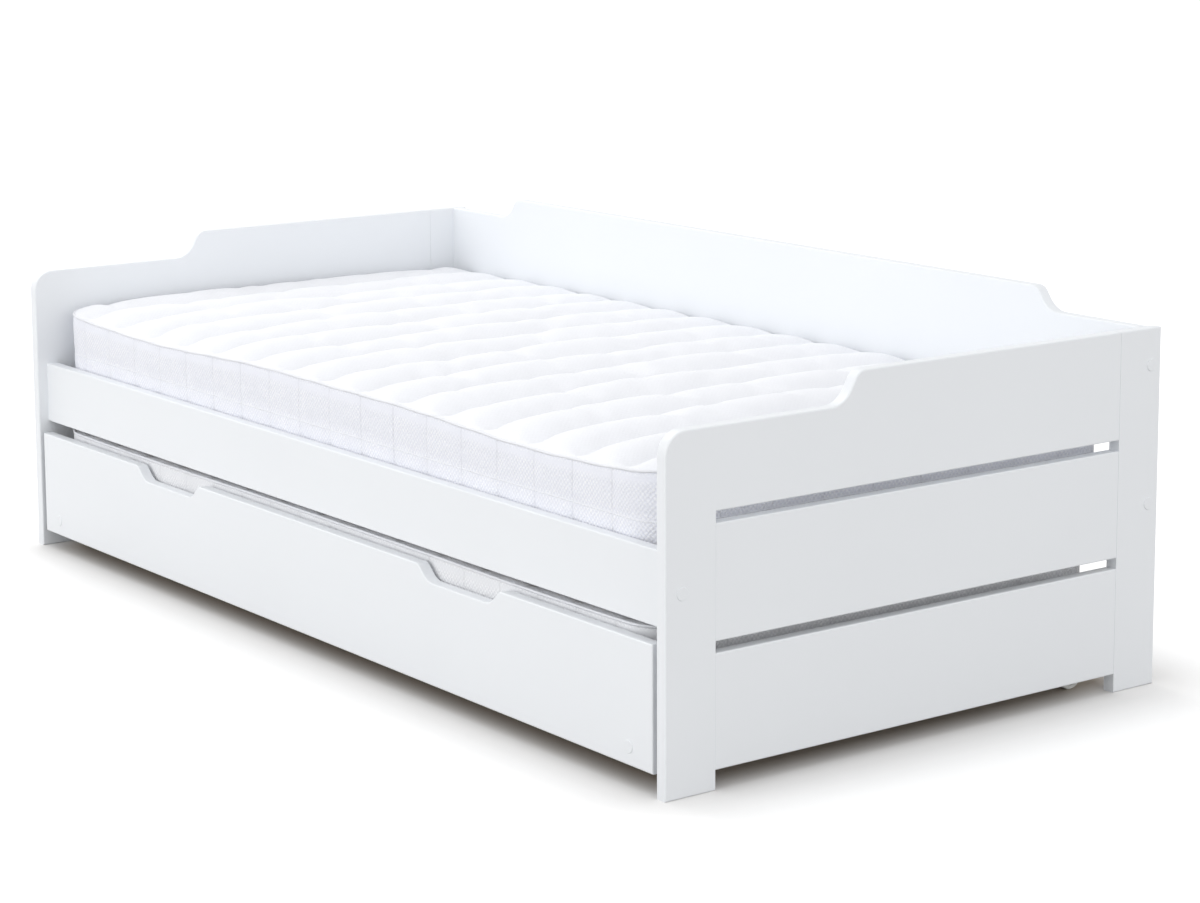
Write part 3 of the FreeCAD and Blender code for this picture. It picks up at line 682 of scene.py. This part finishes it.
def fill_cloth(piece, held, limits, frames=14):
    """Swells the piece with Blender's cloth, held at its seams, and keeps each point within its own limit."""
    start = mesh_points(piece.data)
    group = piece.vertex_groups.new(name="sewn")
    group.add(np.flatnonzero(held).tolist(), 1.0, "REPLACE")
    cloth = piece.modifiers.new("Filling", "CLOTH")
    fabric = cloth.settings
    fabric.vertex_group_mass = "sewn"
    fabric.quality = 4
    fabric.mass = 0.3
    fabric.tension_stiffness = 12.0
    fabric.compression_stiffness = 12.0
    fabric.bending_stiffness = 1.5
    fabric.shrink_min = -0.012
    fabric.use_pressure = True
    fabric.uniform_pressure_force = 4.0
    fabric.effector_weights.gravity = 0.0
    cloth.point_cache.frame_start = 1
    cloth.point_cache.frame_end = frames
    scene = bpy.context.scene
    for step in range(1, frames + 1):
        scene.frame_set(step)
    end = mesh_points(piece.evaluated_get(bpy.context.evaluated_depsgraph_get()).data)
    piece.modifiers.remove(cloth)
    piece.vertex_groups.remove(group)
    scene.frame_set(1)
    travel = end - start
    distance = np.linalg.norm(travel, axis=1)
    travel *= np.minimum(1.0, limits / np.maximum(distance, 1e-9))[:, None]
    piece.data.vertices.foreach_set("co", (start + travel).ravel())
    piece.data.update()
    return start + travel


def base_faces(first, length, width):
    """The faces under a mattress, from its rim's numbers.

    There is one strip for each step of its length, and one face at each end.
    """
    total = 2 * (length + width) - 4
    behind = 2 * length + width - 3
    steps = np.arange(1, length - 2)
    strips = np.stack([steps, behind - steps, behind - steps - 1, steps + 1], axis=-1) + first
    left = [0, *range(total - 1, behind - 1, -1), behind - 1, 1]
    right = [length - 2, behind - length + 2, *range(length + width - 2, length - 2, -1)]
    return strips.tolist() + [[number + first for number in end] for end in (left, right)]


def sew_border(quilt, x, run, rows):
    """Marks the points of the border that its seams hold, and tells the seams' pitch, first place and height.

    The upright seams share the run round the mattress evenly, and the level one goes all round it.
    """
    settings = quilt.settings
    panels = round(run[-1] / settings.panel_pitch)
    first = np.interp(quilt.low[0] + settings.first_panel, x, run[: len(x)])
    places = (first + np.arange(panels) * run[-1] / panels) % run[-1]
    sewn = np.zeros((rows - 1, len(run) - 1), bool)
    sewn[:, np.abs(run[:-1] - places[:, None]).argmin(axis=1)] = True
    sewn[round(rows * LEVEL_SEAM) - 1] = True
    level = quilt.low[2] + LEVEL_SEAM * (quilt.edge_level - quilt.low[2])
    return sewn, (run[-1] / panels, first, level)


def raise_border(quilt, upper, height, sewn):
    """The base's rim and the points of the border over it, up to the top's rim.

    The border leans out from each piped edge as sin(pi t), where t goes from the base to the top.
    """
    outward = level_out(upper)
    lower = upper - outward * quilt.settings.base_tuck
    lower[:, 2] = quilt.low[2]
    lean = quilt.settings.border_bow * np.sin(math.pi * height)
    walls = lower + (upper - lower) * height[:, None, None] + outward * lean[:, None, None]
    return lower, walls - outward * np.where(sewn, SEAM_RECESS, 0.0)[..., None]


def held_points(quilt, x, top_rim, sewn):
    """Marks the points that the filling leaves in place: both rims and all the seams."""
    top = np.zeros(x.shape, bool)
    top[np.isclose(x[:, :1], quilt.seams[None], atol=1e-5).any(axis=1)] = True
    top = top.ravel()
    top[top_rim] = True
    return np.concatenate([top, np.ones(len(top_rim), bool), sewn.ravel()])


def make_mattress(name, node, body, quilt, colour, cells, across, rows):
    """Makes a quilted mattress: a top, a border of upright panels and a base, piped where they meet."""
    settings = quilt.settings
    grid = quilt.grid(cells, across)
    x = grid[..., 0]
    top = grid.reshape(-1, 3)
    top_rows = np.arange(x.size).reshape(x.shape)
    top_rim = rim(top_rows)
    run = run_round(top[top_rim, :2])
    height = np.linspace(0, 1, rows + 1)[1:-1]
    sewn, seams = sew_border(quilt, x[:, 0], run, rows)
    lower, walls = raise_border(quilt, top[top_rim], height, sewn)
    base_start = len(top)
    wall_start = base_start + len(lower)
    wall_rows = np.arange(sewn.size).reshape(sewn.shape) + wall_start
    stack = closed(np.concatenate([np.arange(base_start, wall_start)[None], wall_rows, top_rim[None]]))
    points = np.concatenate([top, lower, walls.reshape(-1, 3)])
    quilt_faces = grid_faces(top_rows).tolist()
    faces = quilt_faces + grid_faces(stack.T).tolist() + base_faces(base_start, *x.shape)
    # The knit's hollows get painted shade here, 0.12 on the border and 0.05 on the quilted top, and the
    # border's loops a painted highlight of 0.75.
    border = knit_finish(name + "_border", settings, colour, 0.0008, 0.12, 0.75, seams)
    piece = new_piece(name, body, points, faces, border)
    cover = knit_finish(name + "_quilt", settings, settings.cover_colour, 0.0002, 0.05, 0.0)
    piece.data.materials.append(cover)
    quilted = np.zeros(len(faces), int)
    quilted[: len(quilt_faces)] = 1
    piece.data.polygons.foreach_set("material_index", quilted)
    limits = np.full(len(points), quilt.swell)
    limits[base_start:] = quilt.swell / 5
    points = fill_cloth(piece, held_points(quilt, x, top_rim, sewn), limits)
    spots = np.stack([np.broadcast_to(run[:, None], stack.T.shape), points[stack.T, 2]], axis=-1)
    map_cloth(piece, points[:, :2], cell_corners(spots).reshape(-1, 2), len(quilt_faces))
    smooth = np.zeros(len(points))
    smooth[wall_start:] = np.repeat(smoothstep(height, *SMOOTH_BAND), len(top_rim))
    piece.data.attributes.new("smooth", "FLOAT", "POINT").data.foreach_set("value", smooth)
    finer = piece.modifiers.new("Finer", "SUBSURF")
    finer.levels = finer.render_levels = 1
    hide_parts(node)
    base = points[base_start: wall_start] + (0.0, 0.0, settings.piping_radius)
    make_piping(name + "_piping", body, (points[top_rim], base), settings)


def make_piping(name, body, loops, settings):
    """Makes piped edges: a round cord carried along closed paths, a little thicker and thinner along its run.

    A point of the cord is path + radius (cos a * outward + sin a * up), and the path lies in from the edge
    by 0.4 radius.
    """
    radius = settings.piping_radius
    sides = 10
    turn = np.arange(sides) * 2 * math.pi / sides
    points, faces, places, offset = [], [], [], 0
    for path in loops:
        step = unit(np.roll(path, -1, 0) - np.roll(path, 1, 0))
        outward = unit(np.cross(step, (0.0, 0.0, 1.0)))
        up = np.cross(outward, step)
        run = run_round(path)[:-1]
        size = radius * (1 + 0.06 * np.sin(run * 52.0) + 0.04 * np.sin(run * 131.0))
        ring = (np.cos(turn)[None, :, None] * outward[:, None] + np.sin(turn)[None, :, None] * up[:, None])
        tube = path[:, None] - outward[:, None] * radius * 0.4 + ring * size[:, None, None]
        numbers = np.arange(len(path) * sides).reshape(len(path), sides) + offset
        points.append(tube.reshape(-1, 3))
        faces.append(grid_faces(closed(closed(numbers, 0)), True))
        place = np.broadcast_arrays(run[:, None], turn * radius)
        places.append(np.stack(place, axis=-1).reshape(-1, 2))
        offset += numbers.size
    material = piping_finish(name, settings)
    faces = np.concatenate(faces).tolist()
    piece = new_piece(name, body, np.concatenate(points), faces, material)
    map_cloth(piece, np.concatenate(places))


def make_screws(name, body, seats, normals, settings):
    """Makes round screw heads: a low domed profile turned round each axis, sunk where the cross recess is.

    The profile goes from under the seat to the middle of the head, with both its measures in radii.
    """
    radius = settings.screw_head_radius
    recess = radius * 0.35
    sides = 16
    turn = np.arange(sides) * 2 * math.pi / sides
    share = np.array([1.0, 0.97, 0.8, 0.5, 0.2, 0.0])
    level = radius * np.array([-0.2, 0.18, 0.34, 0.42, 0.46, 0.46])
    cross = (np.arange(sides) % (sides // 4) == 0)[None] & (share < 0.6)[:, None]
    rise = level[:, None] - np.where(cross, recess, 0.0)
    rise[-1] = level[-1] - recess
    reach = share[:, None] * radius
    head = np.stack([reach * np.cos(turn), reach * np.sin(turn), rise], axis=-1).reshape(-1, 3)
    head_faces = grid_faces(closed(np.arange(len(head)).reshape(rise.shape)), True)
    points, faces = [], []
    for index, (seat, normal) in enumerate(zip(seats, normals)):
        side = unit(np.cross(normal, (0.31, 0.87, 0.38)))
        axes = np.stack([side, np.cross(normal, side), normal])
        points.append(head @ axes + seat)
        faces.append(head_faces + index * len(head))
    steel = bpy.data.materials["zinc_steel"]
    new_piece(name, body, np.concatenate(points), np.concatenate(faces).tolist(), steel)


class TRUNDLE_BED_OT_lacquer(bpy.types.Operator):
    """Lacquers the posts, boards, rails, panel and trundle box, with the grain along each board"""

    bl_idname = "trundle_bed.lacquer"
    bl_label = "Lacquer the Boards"

    def execute(self, context):
        settings = context.scene.trundle_bed.lacquer
        sides = ("left", "right")
        ends = [f"{side}_{board}_board" for side in sides for board in ("bottom", "middle", "top")]
        posts = [f"{side}_{end}_post" for side in sides for end in ("front", "rear")]
        long_boards = ["front_rail", "back_rail", "back_panel", "trundle_front", "trundle_back"]
        trundle_sides = [f"trundle_side_{side}" for side in sides]
        dress(long_boards, lacquer_finish("white_lacquer_long", settings, X))
        dress(ends + trundle_sides, lacquer_finish("white_lacquer_end", settings, Y))
        dress(posts, lacquer_finish("white_lacquer_post", settings, Z))
        return {"FINISHED"}


class TRUNDLE_BED_OT_timber(bpy.types.Operator):
    """Finishes the slats, the ledgers under them and the dowels in bare wood"""

    bl_idname = "trundle_bed.timber"
    bl_label = "Finish the Slats"

    def execute(self, context):
        settings = context.scene.trundle_bed.timber
        ledgers = [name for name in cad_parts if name.endswith("_ledger")]
        slats = [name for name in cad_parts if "_slat_" in name and name not in ledgers]
        dress(slats, pine_finish("pine_slat", settings, Y, X))
        dress(ledgers, pine_finish("pine_ledger", settings, X, Y))
        dress(["frame_dowels"], pine_finish("beech_dowel", settings, Y, Z))
        return {"FINISHED"}


class TRUNDLE_BED_OT_fittings(bpy.types.Operator):
    """Finishes the castors, the bolts and their caps, and makes the small screws"""

    bl_idname = "trundle_bed.fittings"
    bl_label = "Finish the Fittings"

    def execute(self, context):
        settings = context.scene.trundle_bed.fittings
        lacquer = tuple(context.scene.trundle_bed.lacquer.colour)
        steel = steel_finish("zinc_steel", settings)
        nylon = moulded_finish("castor_nylon", tuple(settings.nylon_colour), 0.45)
        dress(["connector_bolts", "barrel_nuts", "trundle_screws", "castor_axles"], steel)
        dress([f"castor_bracket_{corner}" for corner in CORNERS], steel)
        dress([f"castor_wheel_{corner}" for corner in CORNERS], nylon)
        dress(["frame_caps", "trundle_caps"], moulded_finish("cap_plastic", lacquer, 0.34))
        self.fix_slats("bed_slat_screws", "bed_frame", "bed_slat_", settings)
        self.fix_slats("trundle_slat_screws", "trundle", "trundle_slat_", settings)
        self.fix_brackets(settings)
        return {"FINISHED"}

    def fix_slats(self, name, body, stem, settings):
        """One screw at each end of each slat, down into the ledger, its head a little sunk."""
        from_end = 0.011
        sunk = 0.0014
        seats = []
        for node in sorted(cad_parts):
            if node.startswith(stem):
                low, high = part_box(node)
                middle = (low.x + high.x) / 2
                seats += [(middle, y, high.z - sunk) for y in (low.y + from_end, high.y - from_end)]
        make_screws(name, body, seats, [(0, 0, 1)] * len(seats), settings)

    def fix_brackets(self, settings):
        """Two screws through the plate of each castor bracket, side by side under its top edge."""
        plate_thickness = 0.002
        half_spacing = 0.010
        below_top = 0.012
        seats, normals = [], []
        for corner in CORNERS:
            low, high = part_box(f"castor_bracket_{corner}")
            outward = 1 if low.x > 0 else -1
            plate = (low.x if outward > 0 else high.x) + outward * plate_thickness
            for along in (half_spacing, -half_spacing):
                seats.append((plate, (low.y + high.y) / 2 + along, high.z - below_top))
                normals.append((outward, 0, 0))
        make_screws("castor_screws", "trundle", seats, normals, settings)


class TRUNDLE_BED_OT_upper_mattress(bpy.types.Operator):
    """Makes the quilted mattress that lies on the bed's slats

    Its cloth stands a little past its solid at the front and the rear, and stops short of it at the right.
    """

    bl_idname = "trundle_bed.upper_mattress"
    bl_label = "Make the Upper Mattress"

    def execute(self, context):
        settings = context.scene.trundle_bed.mattress
        front_excess = 0.005
        rear_excess = 0.011
        right_gap = 0.008
        low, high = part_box("bed_mattress")
        low.y -= front_excess
        high.x -= right_gap
        high.y += rear_excess
        quilt = Quilt(
            low, high, settings, crest=high.z, drop=0.027, wave=0.0055, reach=0.028,
            swell=settings.swell_limit, end_lift=0.013, rear_lift=0.0015
        )
        make_mattress(
            "upper_mattress", "bed_mattress", "bed_frame", quilt, settings.border_colour,
            cells=11, across=60, rows=14
        )
        return {"FINISHED"}


class TRUNDLE_BED_OT_lower_mattress(bpy.types.Operator):
    """Makes the quilted mattress that lies in the trundle

    It is thinner and plainer than the upper one, and its cloth stands a little past its solid at both ends.
    """

    bl_idname = "trundle_bed.lower_mattress"
    bl_label = "Make the Trundle Mattress"

    def execute(self, context):
        settings = context.scene.trundle_bed.mattress
        end_excess = 0.009
        top_gap = 0.0005
        low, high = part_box("trundle_mattress")
        low.x -= end_excess
        high.x += end_excess
        quilt = Quilt(
            low, high, settings, crest=high.z - top_gap, drop=0.001, wave=0.001, reach=0.1,
            swell=settings.swell_limit / 3
        )
        make_mattress(
            "lower_mattress", "trundle_mattress", "trundle", quilt, settings.trundle_border_shaded_colour,
            cells=8, across=44, rows=12
        )
        return {"FINISHED"}


class TRUNDLE_BED_OT_stage(bpy.types.Operator):
    """Sets the white floor, the soft lamps and the camera"""

    bl_idname = "trundle_bed.stage"
    bl_label = "Set the Stage"

    def execute(self, context):
        settings = context.scene.trundle_bed.stage
        self.lay_floor(settings)
        self.light_room(context, settings)
        middle = (0.0, 0.0, 0.3)
        self.hang_lamp("key_lamp", (-0.5, -5.5, 1.6), middle, 3.0, settings.key_power)
        self.hang_lamp("right_lamp", (6.0, -0.8, 1.6), middle, 3.0, settings.right_power)
        self.hang_lamp("left_lamp", (-4.5, 0.0, 3.5), middle, 4.0, settings.left_power)
        self.set_camera(context, settings)
        context.scene.view_settings.view_transform = "Standard"
        return {"FINISHED"}

    def lay_floor(self, settings):
        """A wide floor, white to the eye, that keeps the bed's shadow and sends less light back to the bed.

        To the eye it turns dark under the bed as a painted shadow, graded by the distance from a box that
        lies a little in from the bed's own; further out it glows a little towards white, a glow that fades
        out near the bed.
        """
        under = 0.08
        white = (0.97, 0.97, 0.97)
        finish = Finish("studio_floor", Roughness=0.9)
        place = finish.axes(finish.place())
        seen = finish.to_the_eye()
        beyond = []
        for axis in (X, Y):
            past = finish.math("SUBTRACT", finish.math("ABSOLUTE", place[axis]), cad_box[1][axis] - under)
            beyond.append(finish.math("MAXIMUM", past, 0.0))
        square = finish.math("MULTIPLY", beyond[Y], beyond[Y])
        away = finish.math("SQRT", finish.math("MULTIPLY_ADD", beyond[X], beyond[X], square))
        # Painted shadow: to the eye the floor runs from the shadow colour near the bed to white further out.
        near = finish.ranged(away, 0.018, 0.080, 0.0, 0.85)
        far = finish.ranged(away, 0.080, 0.22, 0.0, 0.15)
        painted_shadow_floor = finish.blend(finish.math("ADD", near, far), tuple(settings.shadow_colour), white)
        finish.feed("Base Color", finish.blend(seen, tuple(settings.floor_colour), painted_shadow_floor))
        finish.shader.inputs["Emission Color"].default_value = (1.0, 1.0, 1.0, 1.0)
        # The glow for the eye fades out towards the bed, so it is part of the painted shadow.
        lift = finish.math("MULTIPLY", seen, finish.ranged(away, 0.12, 0.34, 0.0, 0.28))
        finish.feed("Emission Strength", lift)
        corners = np.array([[-1, -1, 0], [1, -1, 0], [1, 1, 0], [-1, 1, 0]]) * FLOOR_REACH
        mesh = bpy.data.meshes.new("studio_floor")
        mesh.from_pydata(corners.tolist(), [], [(0, 1, 2, 3)])
        mesh.materials.append(finish.material)
        floor = bpy.data.objects.new("studio_floor", mesh)
        bpy.context.scene.collection.objects.link(floor)

    def light_room(self, context, settings):
        """A white room, full white to the eye, lit a little more at eye level than above."""
        world = bpy.data.worlds.new("studio_room")
        world.use_nodes = True
        graph = Graph(world.node_tree)
        height = graph.axes(graph.add("TexCoord"))[Z]
        light = graph.ranged(height, 0.0, 1.0, settings.wall_strength, settings.ceiling_strength)
        strength = graph.ranged(graph.to_the_eye(), 0.0, 1.0, light, 1.0)
        graph.output("World", graph.add("Background", (1.0, 1.0, 1.0, 1.0), strength))
        context.scene.world = world

    def hang_lamp(self, name, place, aim, size, power):
        """A square area lamp that faces a point."""
        lamp = bpy.data.lights.new(name, "AREA")
        lamp.shape = "SQUARE"
        lamp.size = size
        lamp.energy = power
        holder = bpy.data.objects.new(name, lamp)
        back = unit(np.subtract(place, aim))
        side = unit(np.cross((0.0, 0.0, 1.0), back))
        turn = np.eye(4)
        turn[:3] = np.stack([side, np.cross(back, side), back, place], axis=-1)
        holder.matrix_world = Matrix(turn.tolist())
        bpy.context.scene.collection.objects.link(holder)

    def set_camera(self, context, settings):
        """The camera at the bed's front right, level enough to keep its uprights nearly upright."""
        camera = bpy.data.cameras.new("camera")
        camera.lens = settings.camera_lens
        camera.sensor_width = 36.0
        camera.shift_y = settings.camera_rise
        holder = bpy.data.objects.new("camera", camera)
        heading = Matrix.Rotation(settings.camera_heading, 4, "Z")
        tilt = Matrix.Rotation(math.pi / 2 - settings.camera_tilt, 4, "X")
        roll = Matrix.Rotation(settings.camera_roll, 4, "Z")
        holder.matrix_world = Matrix.Translation(settings.camera_place) @ heading @ tilt @ roll
        context.scene.collection.objects.link(holder)
        context.scene.camera = holder


class TRUNDLE_BED_PT_sidebar(bpy.types.Panel):
    """The bed's settings and the steps that make it"""

    bl_idname = "TRUNDLE_BED_PT_sidebar"
    bl_label = "Trundle Bed"
    bl_space_type = "VIEW_3D"
    bl_region_type = "UI"
    bl_category = "Trundle Bed"

    def draw(self, context):
        for operator in OPERATORS:
            self.layout.operator(operator.bl_idname)
        for part in ("lacquer", "timber", "fittings", "mattress", "stage"):
            settings = getattr(context.scene.trundle_bed, part)
            box = self.layout.box()
            box.label(text=part.capitalize())
            for key in settings.__annotations__:
                box.prop(settings, key)


GROUPS = (LacquerSettings, TimberSettings, FittingSettings, MattressSettings, StageSettings, BedSettings)
OPERATORS = (
    TRUNDLE_BED_OT_stage,
    TRUNDLE_BED_OT_lacquer,
    TRUNDLE_BED_OT_timber,
    TRUNDLE_BED_OT_fittings,
    TRUNDLE_BED_OT_upper_mattress,
    TRUNDLE_BED_OT_lower_mattress,
)
CLASSES = GROUPS + OPERATORS + (TRUNDLE_BED_PT_sidebar,)


def register():
    """Registers the settings, the operators and the panel."""
    for kind in CLASSES:
        bpy.utils.register_class(kind)
    bpy.types.Scene.trundle_bed = bpy.props.PointerProperty(type=BedSettings)


def unregister():
    """Takes the settings, the operators and the panel away again."""
    del bpy.types.Scene.trundle_bed
    for kind in reversed(CLASSES):
        bpy.utils.unregister_class(kind)


def main():
    """Makes the whole scene."""
    register()
    bpy.ops.trundle_bed.stage()
    bpy.ops.trundle_bed.lacquer()
    bpy.ops.trundle_bed.timber()
    bpy.ops.trundle_bed.fittings()
    bpy.ops.trundle_bed.upper_mattress()
    bpy.ops.trundle_bed.lower_mattress()


if __name__ == "__main__":
    main()
